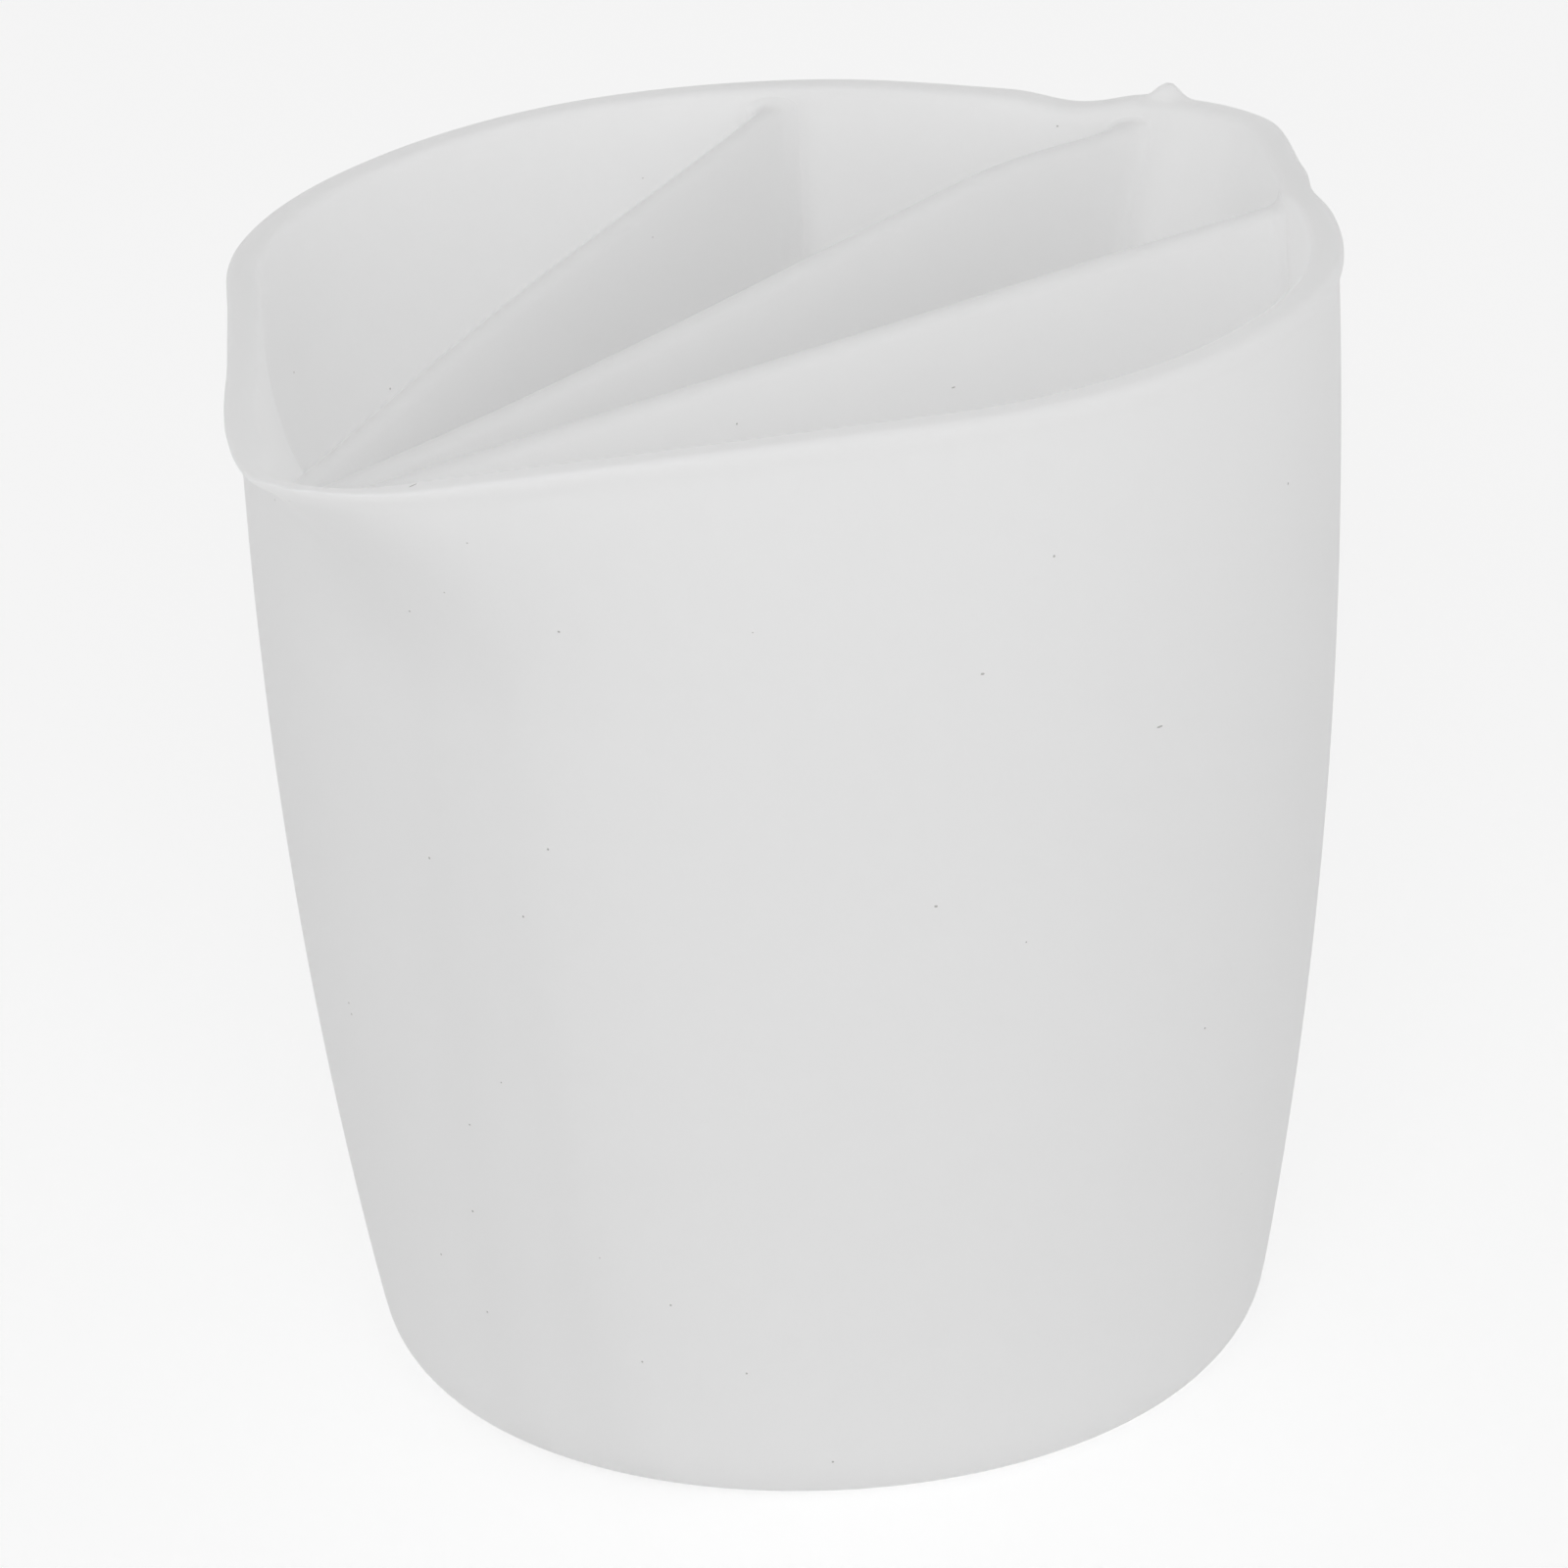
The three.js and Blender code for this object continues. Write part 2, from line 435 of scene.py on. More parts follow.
@dataclass(frozen=True)
class CupForm:
    """Sizes and curves that the shell and the dividers share.

    Attributes:
        height: Height of the rim.
        rim_radius: Radius of the rim's circle outside.
        foot_radius: Radius of the flat underside.
        heel_radius: Radius of the round heel.
        lean: Lean of the side where it leaves the heel.
        wall: Thickness of the wall.
        floor: Thickness of the floor.
        spout_depth: How far below the lip a spout starts.
        spout_flare: How sharply a spout flares towards its lip.
        front: The spout that the dividers run to, with a level lip.
        rear: The small spout behind, with a dipped lip.
        wavers: Small departures of the rim from its drawn line.
    """

    height: float = 98.0 * MM
    rim_radius: float = 45.3 * MM
    foot_radius: float = 29.9 * MM
    heel_radius: float = 8.0 * MM
    lean: float = math.radians(10.9)
    wall: float = 2.4 * MM
    floor: float = 3.0 * MM
    spout_depth: float = 26.0 * MM
    spout_flare: float = 1.7
    front: Spout = Spout(math.radians(-90.0), math.radians(51.7), 12.4 * MM, 0.0, 1.8)
    rear: Spout = Spout(math.radians(82.8), math.radians(40.8), 11.8 * MM, 2.4 * MM, 1.0)
    wavers: Tuple[Waver, ...] = (
        Waver(math.radians(96.2), math.radians(5.8), 0.0, -0.7 * MM),
        Waver(math.radians(91.0), math.radians(3.0), 0.0, 0.15 * MM),
        Waver(math.radians(51.5), math.radians(8.5), -0.6 * MM, 0.0),
        Waver(math.radians(72.0), math.radians(10.0), 0.35 * MM, 0.0),
        Waver(math.radians(23.0), math.radians(22.0), 0.4 * MM, 0.0),
        Waver(math.radians(-107.0), math.radians(10.0), 0.28 * MM, 0.0),
        Waver(math.radians(-98.0), math.radians(5.0), -0.5 * MM, 0.0),
        Waver(math.radians(-93.0), math.radians(3.5), 0.4 * MM, 0.0),
        Waver(math.radians(-146.0), math.radians(14.0), 0.25 * MM, 0.0),
        Waver(math.radians(178.0), math.radians(32.0), -0.75 * MM, 0.0),
    )

    @property
    def heel_top(self) -> float:
        """Height at which the heel passes into the side."""
        return self.heel_radius * (1.0 - math.sin(self.lean))

    @property
    def inner_heel(self) -> float:
        """Radius of the heel inside the cup."""
        return self.heel_radius - self.wall

    @property
    def inner_heel_top(self) -> float:
        """Height at which the inner heel passes into the side."""
        return self.floor + self.inner_heel * (1.0 - math.sin(self.lean))

    @property
    def flare_start(self) -> float:
        """Height below which no spout shows."""
        return self.height - self.spout_depth - max(self.front.dip, self.rear.dip)

    def side_radius(self, z: float) -> float:
        """Outer radius of the plain round side at a height."""
        heel = self.foot_radius + self.heel_radius * math.cos(self.lean)
        rise = self.height - self.heel_top
        belly = heel + math.tan(self.lean) * rise / 2.0
        t = (z - self.heel_top) / rise
        return heel * (1.0 - t) ** 2 + 2.0 * belly * t * (1.0 - t) + self.rim_radius * t ** 2

    def spout_at(self, angle: float) -> Spout:
        """The spout on the same half of the cup as a direction."""
        return self.front if math.sin(angle) < 0.0 else self.rear

    def rim_height(self, angle: float) -> float:
        """Height of the rim, which dips smoothly to a spout's lip."""
        spout = self.spout_at(angle)
        turn = spout.turn(angle)
        height = self.height + sum(waver.rise * waver.share(angle) for waver in self.wavers)
        if turn >= spout.flank:
            return height
        return height - spout.dip * (1.0 + math.cos(math.pi * turn / spout.flank)) / 2.0

    def reach(self, angle: float, inset: float) -> float:
        """How far a spout's outline stands out from the rim's circle.

        Args:
            angle: Direction from the cup's axis.
            inset: Distance inwards from the outer face.

        Returns:
            The distance, 0 beside the spouts.
        """
        spout = self.spout_at(angle)
        turn = spout.turn(angle)
        if turn >= spout.flank:
            return 0.0
        radius = self.rim_radius - inset
        corner = spout.corner - max(inset, inset * spout.tightening)
        centre = (radius - corner) / math.cos(spout.flank)
        sine, cosine = math.sin(spout.flank), math.cos(spout.flank)
        if turn >= math.atan2(corner * sine, centre + corner * cosine):
            return radius / math.cos(spout.flank - turn) - radius
        across = centre * math.sin(turn)
        return centre * math.cos(turn) + math.sqrt(corner ** 2 - across ** 2) - radius

    def wall_radius(self, angle: float, z: float, inset: float) -> float:
        """Radius of the wall, spouts included.

        Args:
            angle: Direction from the cup's axis.
            z: Height.
            inset: Distance inwards from the outer face.

        Returns:
            Distance from the cup's axis.
        """
        climb = max(0.0, 1.0 - (self.rim_height(angle) - z) / self.spout_depth)
        out = self.reach(angle, inset) + sum(waver.out * waver.share(angle) for waver in self.wavers)
        return self.side_radius(z) - inset + climb ** self.spout_flare * out


def deselect_all() -> None:
    """Leaves edit mode and deselects every object."""
    if bpy.context.mode != "OBJECT":
        bpy.ops.object.mode_set(mode="OBJECT")
    bpy.ops.object.select_all(action="DESELECT")


def apply_modifier(piece: bpy.types.Object, kind: str, settings: Dict[str, Any]) -> None:
    """Adds a modifier to a piece and applies it.

    Args:
        piece: The piece.
        kind: The modifier's type.
        settings: Properties of the modifier.
    """
    bpy.context.view_layer.objects.active = piece
    bpy.ops.object.modifier_add(type=kind)
    added = piece.modifiers[-1]
    for name, value in settings.items():
        setattr(added, name, value)
    bpy.ops.object.modifier_apply(modifier=added.name)


def move_points(piece: bpy.types.Object, place: Callable[[Vector], Vector]) -> None:
    """Moves each point of a piece to where a rule puts it."""
    for point in piece.data.vertices:
        point.co = place(point.co)
    piece.data.update()


def finish_piece(piece: bpy.types.Object, material: bpy.types.Material, nodes: Sequence[str]) -> None:
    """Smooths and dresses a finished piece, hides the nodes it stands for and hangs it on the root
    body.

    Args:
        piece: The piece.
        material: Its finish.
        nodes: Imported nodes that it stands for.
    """
    deselect_all()
    piece.select_set(True)
    bpy.context.view_layer.objects.active = piece
    bpy.ops.object.shade_smooth()
    piece.data.materials.clear()
    piece.data.materials.append(material)
    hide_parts(*nodes)
    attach(piece, Body.ROOT.value)
    LOG.info("%s: %d faces, stands for %s", piece.name, len(piece.data.polygons), ", ".join(nodes))


@dataclass(frozen=True)
class Nub:
    """A stub of flash that trimming left on a lip.

    Attributes:
        angle: Direction from the cup's axis.
        rise: How far it stands up from the lip.
        jut: How far it stands out from the lip.
        half_width: Half of its width along the lip.
    """

    angle: float
    rise: float
    jut: float
    half_width: float

    def share(self, angle: float, radius: float) -> float:
        """How much of the nub shows at a place on the lip."""
        away = abs((angle - self.angle + math.pi) % math.tau - math.pi) * radius
        return ease(1.0 - away / self.half_width)


@dataclass
class CupShell:
    """The wall, spouts, rim and base, which are one skin on the real cup.

    Attributes:
        form: Sizes and curves of the cup.
        bead: How far the rim's bead stands out.
        bead_height: Height of the bead.
        bead_slope: Height over which the bead comes out of the wall.
        edge_radius: Rounding of the rim's edges.
        columns: Points round the cup before it is smoothed.
        spout_pull: How strongly the columns crowd at the spouts.
        side_rings: Rings between the heel and the spouts.
        spout_rings: Rings in the height of the spouts.
        arc_steps: Steps of a heel's arc.
        edge_steps: Steps of a rim edge's arc.
        hub_radius: Radius of the hole that is left in the floor and the foot until the end.
        hub_shares: Places of the rings between a hub and the edge of its flat.
        bead_shares: Places of the rings on the slope of the bead.
        nub_depth: Height of the band of the rim that a nub grows from.
        nubs: Stubs of flash on the lips.
    """

    form: CupForm
    bead: float = 0.4 * MM
    bead_height: float = 2.6 * MM
    bead_slope: float = 1.5 * MM
    edge_radius: float = 0.7 * MM
    columns: int = 208
    spout_pull: float = 0.55
    side_rings: int = 9
    spout_rings: int = 14
    arc_steps: int = 7
    edge_steps: int = 3
    hub_radius: float = 4.0 * MM
    hub_shares: Tuple[float, ...] = (0.0, 0.3, 0.65, 0.9)
    bead_shares: Tuple[float, ...] = (0.3, 0.7, 1.0)
    nub_depth: float = 1.1 * MM
    nubs: Tuple[Nub, ...] = (
        Nub(math.radians(88.7), 1.6 * MM, 0.1 * MM, 1.5 * MM),
        Nub(math.radians(-89.5), 0.0, 0.5 * MM, 0.9 * MM),
    )

    def build(self) -> bpy.types.Object:
        """Draws the section, spins it into a cup and pulls out the spouts.

        Returns:
            The finished mesh object.
        """
        piece = self._draw_section()
        self._spin_section()
        bpy.ops.object.mode_set(mode="OBJECT")
        move_points(piece, self._shape)
        apply_modifier(piece, "SUBSURF", {"levels": 1, "render_levels": 1})
        self._close_hubs()
        return piece

    def _close_hubs(self) -> None:
        """Closes the round holes in the middle of the foot and of the floor."""
        bpy.ops.object.mode_set(mode="EDIT")
        bpy.ops.mesh.select_all(action="SELECT")
        bpy.ops.mesh.fill_holes(sides=0)
        bpy.ops.mesh.select_all(action="DESELECT")
        bpy.ops.mesh.select_face_by_sides(number=4, type="GREATER")
        bpy.ops.mesh.poke()
        bpy.ops.mesh.select_all(action="SELECT")
        bpy.ops.mesh.normals_make_consistent(inside=False)
        bpy.ops.object.mode_set(mode="OBJECT")

    def _draw_section(self) -> bpy.types.Object:
        """Extrudes one point along the cup's section, from hub to hub.

        Returns:
            The new object, in edit mode with the section selected.
        """
        deselect_all()
        bpy.ops.mesh.primitive_plane_add(size=2.0 * MM)
        piece = bpy.context.active_object
        piece.name = "cup_shell"
        bpy.ops.object.mode_set(mode="EDIT")
        bpy.ops.mesh.select_all(action="SELECT")
        bpy.ops.mesh.merge(type="CENTER")
        section = self._section()
        bpy.ops.transform.translate(value=(section[0][0], 0.0, section[0][1]))
        for before, after in zip(section, section[1:]):
            step = (after[0] - before[0], 0.0, after[1] - before[1])
            bpy.ops.mesh.extrude_region_move(TRANSFORM_OT_translate={"value": step})
        bpy.ops.mesh.select_all(action="SELECT")
        return piece

    def _spin_section(self) -> None:
        """Spins the selected section into a skin that is open at its hubs."""
        bpy.ops.mesh.spin(
            steps=self.columns, angle=math.tau, center=(0.0, 0.0, 0.0), axis=(0.0, 0.0, 1.0)
        )
        bpy.ops.mesh.select_all(action="SELECT")
        bpy.ops.mesh.remove_doubles(threshold=WELD)
        bpy.ops.mesh.normals_make_consistent(inside=False)

    def _section(self) -> List[Point]:
        """Section of the plain round cup.

        Returns:
            Radius and height of each point, from under the foot to the floor.
        """
        form = self.form
        floor_radius = (
            form.side_radius(form.inner_heel_top) - form.wall - form.inner_heel * math.cos(form.lean)
        )
        outside = [(radius, 0.0) for radius in self._hub_rings(form.foot_radius)]
        outside += self._heel(form.foot_radius, 0.0, form.heel_radius)
        outside += self._climb(form.heel_top, form.height - self.bead_height, 0.0)
        inside = [(radius, form.floor) for radius in self._hub_rings(floor_radius)]
        inside += self._heel(floor_radius, form.floor, form.inner_heel)
        inside += self._climb(form.inner_heel_top, form.height - self.edge_radius, form.wall)
        return outside + self._rim() + inside[::-1]

    def _hub_rings(self, flat: float) -> List[float]:
        """Radii of the rings of a flat disc, from its hub to just inside its edge."""
        return [self.hub_radius + (flat - self.hub_radius) * share for share in self.hub_shares]

    def _heel(self, radius: float, bottom: float, size: float) -> List[Point]:
        """Points of a heel's arc, from the flat up to the side's lean.

        Args:
            radius: Radius of the flat that the arc leaves.
            bottom: Height of that flat.
            size: Radius of the arc.

        Returns:
            Radius and height of each point.
        """
        points = []
        for step in range(self.arc_steps + 1):
            turn = (math.pi / 2.0 - self.form.lean) * step / self.arc_steps
            points.append((radius + size * math.sin(turn), bottom + size * (1.0 - math.cos(turn))))
        return points

    def _climb(self, bottom: float, top: float, inset: float) -> List[Point]:
        """Points of the side above the heel, closer together in the spouts.

        Args:
            bottom: Height at which the side starts.
            top: Height at which it ends.
            inset: Distance inwards from the outer face.

        Returns:
            Radius and height of each point.
        """
        flare = self.form.flare_start
        heights = []
        for step in range(1, self.side_rings + 1):
            heights.append(bottom + (flare - bottom) * step / self.side_rings)
        for step in range(1, self.spout_rings + 1):
            heights.append(flare + (top - flare) * step / self.spout_rings)
        return [(self.form.side_radius(z) - inset, z) for z in heights]

    def _rim(self) -> List[Point]:
        """Points of the rim: bead, round outer edge, flat top and round inner edge.

        Returns:
            Radius and height of each point.
        """
        form = self.form
        steps = []
        for share in self.bead_shares:
            steps.append((-self.bead * ease(share), self.bead_height - self.bead_slope * share))
        steps.append((-self.bead, (self.bead_height - self.bead_slope + self.edge_radius) / 2.0))
        quarter = [math.pi / 2.0 * step / self.edge_steps for step in range(self.edge_steps + 1)]
        for turn in quarter:
            across = self.edge_radius * (1.0 - math.cos(turn)) - self.bead
            steps.append((across, self.edge_radius * (1.0 - math.sin(turn))))
        steps.append((form.wall / 2.0 - self.bead / 2.0, 0.0))
        for turn in quarter[:-1]:
            across = form.wall - self.edge_radius * (1.0 - math.sin(turn))
            steps.append((across, self.edge_radius * (1.0 - math.cos(turn))))
        points = []
        for inset, below in steps:
            z = form.height - below
            points.append((form.side_radius(z) - inset, z))
        return points

    def _crowd_spouts(self, angle: float) -> float:
        """Moves the columns closer together at the spouts."""
        return angle + self.spout_pull / 2.0 * math.sin(2.0 * angle)

    def _shape(self, point: Vector) -> Vector:
        """Pulls a point of the round cup into the spouts, the dips and the nubs.

        Args:
            point: Place on the plain round cup.

        Returns:
            Place on the finished cup.
        """
        form = self.form
        radius = math.hypot(point.x, point.y)
        angle = self._crowd_spouts(math.atan2(point.y, point.x))
        z = point.z
        if z > form.flare_start:
            inset = form.side_radius(z) - radius
            below = form.height - z
            straight = form.height - self.bead_height - form.flare_start
            share = min(1.0, (z - form.flare_start) / straight)
            z -= (form.height - form.rim_height(angle)) * share
            radius = form.wall_radius(angle, z, inset)
            edge = ease(1.0 - below / self.nub_depth) if inset < form.wall / 2.0 else 0.0
            for nub in self.nubs:
                grown = nub.share(angle, radius) * edge
                z += nub.rise * grown
                radius += nub.jut * grown
        return Vector((radius * math.cos(angle), radius * math.sin(angle), z))


@dataclass
class DividerFan:
    """Three plates that fan out from a point beyond the front spout.

    Attributes:
        form: Sizes and curves of the cup.
        top_width: Thickness of a plate under its round top.
        foot_width: Thickness of a plate at the floor.
        top_drop: Depth of a plate's top below the rim.
        lip_drop: Depth of a plate's end below the lip that it meets.
        fan_reach: Distance of the fan's point from the cup's axis.
        fan_step: Angle between neighbouring plates.
        front_fillet: Radius with which a plate grows out of the front spout.
        rear_fillet: Radius with which it grows out of the wall behind.
        floor_fillet: Radius with which it grows out of the floor.
        top_fillet: Height by which its top climbs the wall behind.
        root_depth: How far a plate runs on inside the wall and the floor.
        sink_share: Share of that depth by which the fillets are sunk.
        slope_length: Length over which a plate's top dips to a lip.
        bows: How far each soft plate bows to its left, and where along it.
        stations: Steps along a plate.
        rows: Steps up a plate.
        top_steps: Steps across a plate's round top.
        crowding: How strongly stations crowd at a plate's ends.
        row_crowding: How strongly rows crowd at its foot and its top.
        top_gap: Share of a row that the round top takes from the side.
        search_steps: Halvings of the search for the wall.
        search_reach: Reach of that search, as a share of the rim's radius.
    """

    form: CupForm
    top_width: float = 1.7 * MM
    foot_width: float = 2.5 * MM
    top_drop: float = 1.5 * MM
    lip_drop: float = 0.6 * MM
    fan_reach: float = 71.0 * MM
    fan_step: float = math.radians(14.0)
    front_fillet: float = 0.9 * MM
    rear_fillet: float = 2.2 * MM
    floor_fillet: float = 2.0 * MM
    top_fillet: float = 0.8 * MM
    root_depth: float = 0.4 * MM
    sink_share: float = 0.7
    slope_length: float = 24.0 * MM
    bows: Tuple[Tuple[Plate, float, float], ...] = (
        (Plate.LEFT, 1.0 * MM, 0.45),
        (Plate.MIDDLE, -1.2 * MM, 0.3),
        (Plate.RIGHT, -0.3 * MM, 0.6),
    )
    stations: int = 44
    rows: int = 30
    top_steps: int = 6
    crowding: float = 0.93
    row_crowding: float = 0.85
    top_gap: float = 0.35
    search_steps: int = 40
    search_reach: float = 1.5

    def build(self, plate: Plate) -> bpy.types.Object:
        """Sweeps a plate's section into a block and fits the block to the cup.

        Args:
            plate: Which divider to make.

        Returns:
            The finished mesh object.
        """
        piece = self._sweep_block(plate.node + "_plate")
        self._fit(piece, plate)
        apply_modifier(piece, "SUBSURF", {"levels": 1, "render_levels": 1})
        return piece

    def _sweep_block(self, name: str) -> bpy.types.Object:
        """Extrudes a gridded section along Y into a block of unit size.

        Args:
            name: Name of the new object.

        Returns:
            The block, with x from -1 to 1, and y and z from 0 to 1.
        """
        deselect_all()
        bpy.ops.mesh.primitive_grid_add(
            x_subdivisions=self.top_steps, y_subdivisions=self.rows, size=1.0
        )
        piece = bpy.context.active_object
        piece.name = name
        bpy.ops.object.mode_set(mode="EDIT")
        bpy.ops.mesh.select_all(action="SELECT")
        bpy.ops.transform.resize(value=(2.0, 1.0, 1.0))
        bpy.ops.transform.rotate(
            value=-math.pi / 2.0, orient_axis="X", center_override=(0.0, 0.0, 0.0)
        )
        bpy.ops.transform.translate(value=(0.0, 0.0, 0.5))
        for _ in range(self.stations):
            bpy.ops.mesh.extrude_region_move(
                TRANSFORM_OT_translate={"value": (0.0, 1.0 / self.stations, 0.0)}
            )
        bpy.ops.mesh.select_all(action="SELECT")
        bpy.ops.mesh.normals_make_consistent(inside=False)
        bpy.ops.object.mode_set(mode="OBJECT")
        return piece

    def _bow_at(self, plate: Plate, share: float) -> float:
        """How far a plate bows to its left at a share of its length.

        Args:
            plate: Which divider.
            share: Place along it, from 0 at the front to 1 at the rear.

        Returns:
            The distance.
        """
        for bowed, size, peak in self.bows:
            if bowed is plate:
                held = min(1.0, max(0.0, share))
                even = held ** (math.log(0.5) / math.log(peak))
                return size * math.sin(math.pi * even) ** 2
        return 0.0

    def _fit(self, piece: bpy.types.Object, plate: Plate) -> None:
        """Fits a block of unit size between the walls of the cup.

        Args:
            piece: The block.
            plate: Which divider it becomes.
        """
        heading = math.pi / 2.0 + plate.value * self.fan_step
        along = Vector((math.cos(heading), math.sin(heading), 0.0))
        across = Vector((-along.y, along.x, 0.0))
        start = Vector((0.0, -self.fan_reach, 0.0))
        foot_of_axis = -start.dot(along)
        origin = start + along * foot_of_axis
        ends = [self._end_height(origin, along, sign) for sign in (-1.0, 1.0)]
        known: Dict[Tuple[float, float, float], float] = {}

        def hit(half: float, z: float, sign: float) -> float:
            """Distance along the plate at which a line beside its middle meets the wall."""
            key = (round(half / MM, 3), round(z / MM, 3), sign)
            if key not in known:
                known[key] = self._meet_wall(origin + across * half, along, sign, z)
            return known[key]

        def place(point: Vector) -> Vector:
            """Place on the plate of a point of the block."""
            front_z, half = self._section_place(point.x, point.z, ends[0])
            rear_z = self._section_place(point.x, point.z, ends[1] + self.top_fillet)[0]
            near = hit(half, front_z, -1.0) - self.root_depth
            far = hit(half, rear_z, 1.0) + self.root_depth
            run = near + (far - near) * crowd_ends(point.y, self.crowding)
            behind = run - near - self.root_depth
            ahead = far - self.root_depth - run
            top = self._top_at(run, near, far, ends) + self._fillet_width(ahead, self.top_fillet)
            z = self._section_place(point.x, point.z, top)[0]
            sink = self.sink_share * self.root_depth
            swell = max(
                self._fillet_width(behind + sink, self.front_fillet),
                self._fillet_width(ahead + sink, self.rear_fillet),
                self._fillet_width(z - self.form.floor + sink, self.floor_fillet),
            )
            wide = half * (1.0 + swell / self._half_width(point.z))
            if ahead < self.rear_fillet:
                run += hit(wide, rear_z, 1.0) - hit(half, rear_z, 1.0)
            if behind < self.front_fillet:
                run += hit(wide, front_z, -1.0) - hit(half, front_z, -1.0)
            wide += self._bow_at(plate, (run - near) / (far - near))
            return origin + along * run + across * wide + Vector((0.0, 0.0, z))

        move_points(piece, place)

    def _section_place(self, side: float, share: float, top: float) -> Point:
        """Height of a point of the section, and its distance from the plate's middle.

        Args:
            side: Place across the block, from -1 to 1.
            share: Place up the block, from 0 to 1.
            top: Height of the plate's top.

        Returns:
            The height and the distance.
        """
        edge = self.top_width / 2.0
        shoulder = top - edge
        if self._on_top(share):
            turn = side * math.pi / 2.0
            return shoulder + edge * math.cos(turn), edge * math.sin(turn)
        bottom = self.form.floor - self.root_depth
        z = bottom + (shoulder - bottom) * self._climb(share)
        return z, side * self._half_width(share)

    def _on_top(self, share: float) -> bool:
        """Whether a place up the block lies on the plate's round top."""
        return share > 1.0 - 0.5 / self.rows

    def _climb(self, share: float) -> float:
        """Place up a plate's side, from 0 to 1, for a place up the block."""
        return crowd_ends(share * self.rows / (self.rows - self.top_gap), self.row_crowding)

    def _half_width(self, share: float) -> float:
        """Half of a plate's thickness at a place up the block."""
        edge = self.top_width / 2.0
        if self._on_top(share):
            return edge
        return self.foot_width / 2.0 + (edge - self.foot_width / 2.0) * self._climb(share)

    def _fillet_width(self, gap: float, fillet: float) -> float:
        """Extra half thickness at a distance from what a plate grows out of."""
        if gap >= fillet:
            return 0.0
        left = fillet - max(0.0, gap)
        return fillet - math.sqrt(fillet ** 2 - left ** 2)

    def _end_height(self, origin: Vector, along: Vector, sign: float) -> float:
        """Height of a plate's top where it meets the wall.

        Args:
            origin: The plate's point nearest to the cup's axis.
            along: Direction of the plate.
            sign: 1 for the end ahead, -1 for the end behind.

        Returns:
            The height.
        """
        free = self.form.height - self.top_drop
        run = self._meet_wall(origin, along, sign, free)
        end = origin + along * run
        rim = self.form.rim_height(math.atan2(end.y, end.x))
        climb = self.top_fillet if sign > 0.0 else 0.0
        return min(free, rim - self.lip_drop - climb)

    def _top_at(self, run: float, near: float, far: float, ends: Sequence[float]) -> float:
        """Height of a plate's top at a distance along it.

        Args:
            run: Distance along the plate.
            near: Distance at which the plate starts.
            far: Distance at which it ends.
            ends: Heights of the top at the start and the end.

        Returns:
            The height.
        """
        free = self.form.height - self.top_drop
        first = ease(1.0 - (run - near) / self.slope_length)
        last = ease(1.0 - (far - run) / self.slope_length)
        return free - (free - ends[0]) * first - (free - ends[1]) * last

    def _meet_wall(self, origin: Vector, along: Vector, sign: float, z: float) -> float:
        """Distance along a line at which it meets the inside of the wall.

        Args:
            origin: A point of the line inside the cup.
            along: Direction of the line.
            sign: 1 to look ahead, -1 to look behind.
            z: Height.

        Returns:
            The distance, negative behind the origin.
        """
        form = self.form
        level = max(z, form.inner_heel_top)
        sunk = max(0.0, form.inner_heel_top - z) / form.inner_heel
        low, high = 0.0, self.search_reach * form.rim_radius
        for _ in range(self.search_steps):
            middle = (low + high) / 2.0
            spot = origin + along * (sign * middle)
            bound = form.wall_radius(math.atan2(spot.y, spot.x), level, form.wall)
            bound -= form.inner_heel * (1.0 - math.sqrt(max(0.0, 1.0 - sunk ** 2)))
            if math.hypot(spot.x, spot.y) < bound:
                low = middle
            else:
                high = middle
        return sign * low


@dataclass(frozen=True)
class PhotoCamera:
    """Camera at the photograph's viewing angle.

    Attributes:
        azimuth: Turn round the cup from its front spout.
        elevation: Height above the horizon.
        roll: Tilt of the camera to the right.
        distance: Distance from the cup's middle.
        target: The cup's middle.
        focal_pixels: Focal length in pixels of the image.
        shift_pixels: How far the middle lies right of and below the image's centre.
        image_pixels: Side of the image.
        sensor: Width of the sensor in millimetres.
    """

    azimuth: float = math.radians(36.8)
    elevation: float = math.radians(22.0)
    roll: float = math.radians(2.27)
    distance: float = 819.0 * MM
    target: Tuple[float, float, float] = (0.0, 0.0, CUP_MIDDLE)
    focal_pixels: float = 9942.0
    shift_pixels: Point = (22.4, 16.6)
    image_pixels: float = 1600.0
    sensor: float = 36.0

    def build(self) -> bpy.types.Object:
        """Makes the camera and sets it as the scene's own.

        Returns:
            The camera.
        """
        data = bpy.data.cameras.new("photo_camera")
        data.sensor_width = self.sensor
        data.lens = self.focal_pixels * self.sensor / self.image_pixels
        data.shift_x = -self.shift_pixels[0] / self.image_pixels
        data.shift_y = self.shift_pixels[1] / self.image_pixels
        camera = bpy.data.objects.new("photo_camera", data)
        bpy.context.scene.collection.objects.link(camera)
        back = towards(self.azimuth, self.elevation)
        facing = (-back).to_track_quat("-Z", "Y").to_matrix().to_4x4()
        tilted = facing @ Matrix.Rotation(-self.roll, 4, "Z")
        place = Matrix.Translation(Vector(self.target) + back * self.distance)
        camera.matrix_world = place @ tilted
        bpy.context.scene.camera = camera
        return camera


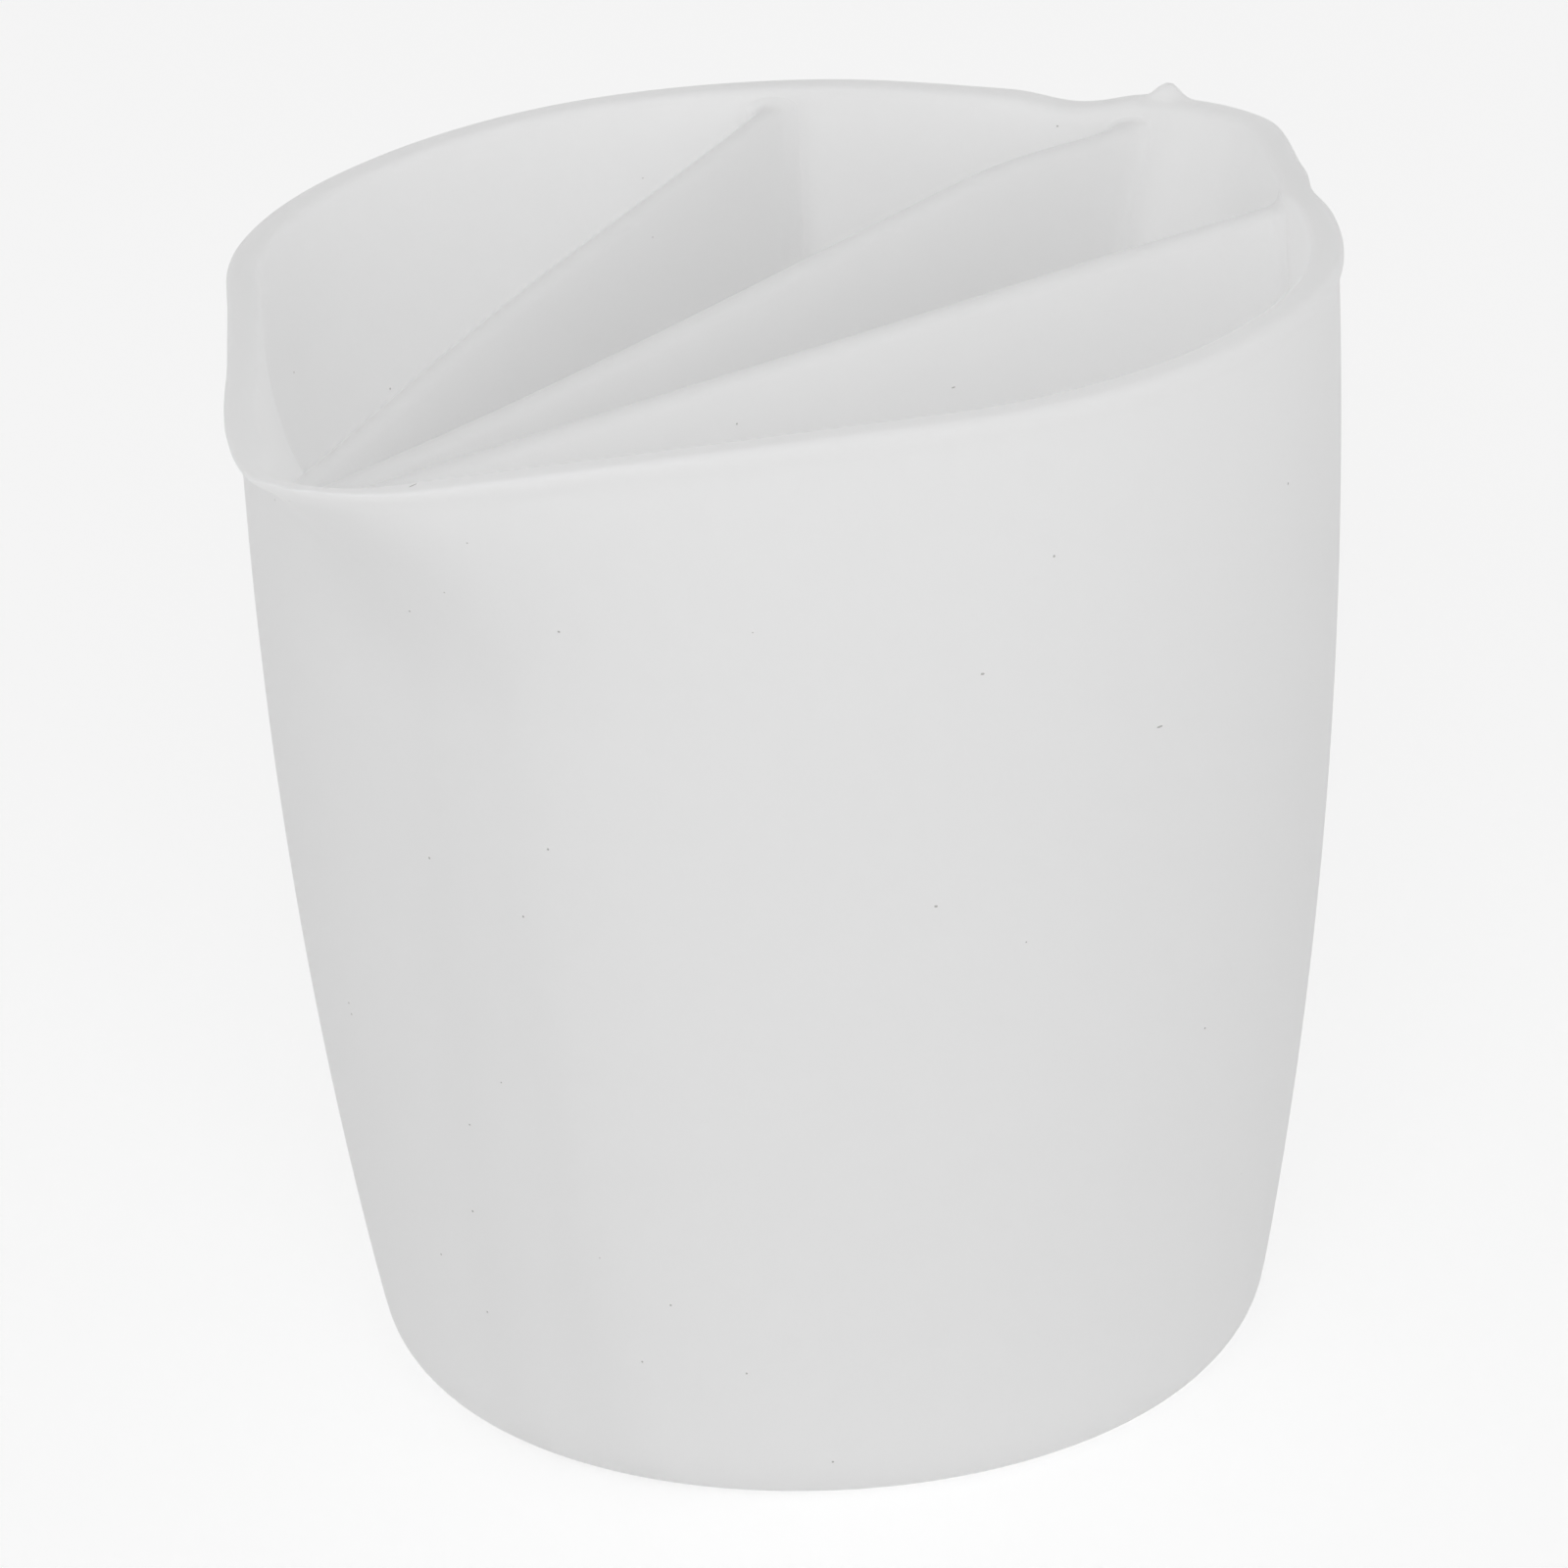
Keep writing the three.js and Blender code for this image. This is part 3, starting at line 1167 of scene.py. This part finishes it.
@dataclass(frozen=True)
class Softbox:
    """A large soft lamp that faces the cup.

    Attributes:
        name: Name of the lamp.
        azimuth: Turn round the cup from its front spout.
        elevation: Height above the horizon.
        distance: Distance from the cup.
        side: Side of the square that shines.
        power: Power in watts.
    """

    name: str
    azimuth: float
    elevation: float
    distance: float
    side: float
    power: float

    def build(self) -> bpy.types.Object:
        """Makes the lamp.

        Returns:
            The lamp.
        """
        data = bpy.data.lights.new(self.name, "AREA")
        data.size = self.side
        data.energy = self.power
        lamp = bpy.data.objects.new(self.name, data)
        bpy.context.scene.collection.objects.link(lamp)
        back = towards(self.azimuth, self.elevation)
        lamp.location = back * self.distance + Vector((0.0, 0.0, CUP_MIDDLE))
        lamp.rotation_euler = (-back).to_track_quat("-Z", "Y").to_euler()
        return lamp


@dataclass
class Studio:
    """White floor, white surroundings and a soft lamp.

    Attributes:
        floor_side: Side of the floor.
        floor_gap: Depth of the floor below the cup's foot.
        floor_tone: Colour of the floor.
        floor_roughness: Roughness of the floor.
        floor_white: Brightness that lifts the lit floor to white in the picture.
        horizon: Strength of the light from the sides.
        zenith: Strength of the light from above.
        bounces: How often light is passed on between the milky walls.
        lamps: The soft lamps.
    """

    floor_side: float = 8.0
    floor_gap: float = 0.05 * MM
    floor_tone: Colour = (0.9, 0.9, 0.9, 1.0)
    floor_roughness: float = 0.9
    floor_white: float = 0.37
    horizon: float = 0.93
    zenith: float = 0.53
    bounces: int = 24
    lamps: Tuple[Softbox, ...] = (
        Softbox("key_softbox", math.radians(36.0), math.radians(20.0), 1.5, 0.9, 3.4),
    )

    def build(self) -> None:
        """Makes the floor, the surroundings and the lamps."""
        self._lay_floor()
        self._light_surround()
        for lamp in self.lamps:
            lamp.build()
        bpy.context.scene.cycles.max_bounces = self.bounces
        bpy.context.scene.cycles.diffuse_bounces = self.bounces
        bpy.context.scene.view_settings.view_transform = "Standard"

    def _seen(self, graph: Graph) -> Socket:
        """1 for rays that show the background in the picture, and 0 for those that light it."""
        rays = graph.node("ShaderNodeLightPath")
        camera = Socket(graph, rays.outputs["Is Camera Ray"])
        glossy = Socket(graph, rays.outputs["Is Glossy Ray"])
        through = Socket(graph, rays.outputs["Is Transmission Ray"])
        return camera | glossy | through

    def _lay_floor(self) -> None:
        """Lays the floor, which keeps a soft shadow of the cup."""
        deselect_all()
        bpy.ops.mesh.primitive_plane_add(size=self.floor_side, location=(0.0, 0.0, -self.floor_gap))
        floor = bpy.context.active_object
        floor.name = "studio_floor"
        paper = bpy.data.materials.new("floor_paper")
        paper.use_nodes = True
        graph = Graph(paper.node_tree)
        paint = {"Base Color": self.floor_tone, "Roughness": self.floor_roughness}
        matt = graph.take(0, "ShaderNodeBsdfPrincipled", None, paint)
        white = graph.take(0, "ShaderNodeEmission", None, {"Strength": self.floor_white})
        lifted = graph.take(0, "ShaderNodeAddShader", None, {0: matt, 1: white})
        mixed = graph.take(0, "ShaderNodeMixShader", None, {0: self._seen(graph), 1: matt, 2: lifted})
        graph.node("ShaderNodeOutputMaterial", None, {"Surface": mixed})
        floor.data.materials.append(paper)

    def _light_surround(self) -> None:
        """Makes the world: white to look at, and as a light brightest at the horizon."""
        world = bpy.data.worlds.new("studio_surround")
        world.use_nodes = True
        graph = Graph(world.node_tree)
        white: Colour = (1.0, 1.0, 1.0, 1.0)
        facing = graph.take("Generated", "ShaderNodeTexCoord")
        height = graph.take("Z", "ShaderNodeSeparateXYZ", None, {0: facing})
        low = 1.0 - (height | 0.0)
        band = low * low
        strength = band * band * (self.horizon - self.zenith) + self.zenith
        light = graph.take(0, "ShaderNodeBackground", None, {"Color": white, "Strength": strength})
        shown = graph.take(0, "ShaderNodeBackground", None, {"Color": white, "Strength": 1.0})
        mixed = graph.take(0, "ShaderNodeMixShader", None, {0: self._seen(graph), 1: light, 2: shown})
        graph.node("ShaderNodeOutputWorld", None, {"Surface": mixed})
        bpy.context.scene.world = world


def main() -> None:
    """Builds the camera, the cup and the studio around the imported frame."""
    logging.basicConfig(level=logging.INFO, format="%(name)s %(message)s")
    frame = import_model()
    LOG.info("frame with nodes %s", ", ".join(sorted(frame["nodes"])))
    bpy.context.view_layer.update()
    PhotoCamera().build()
    form = CupForm()
    silicone = MilkySilicone().material("milky_silicone")
    finish_piece(CupShell(form).build(), silicone, ("cup_wall", "cup_base"))
    fan = DividerFan(form)
    for plate in Plate:
        finish_piece(fan.build(plate), silicone, (plate.node,))
    Studio().build()


if __name__ == "__main__":
    main()
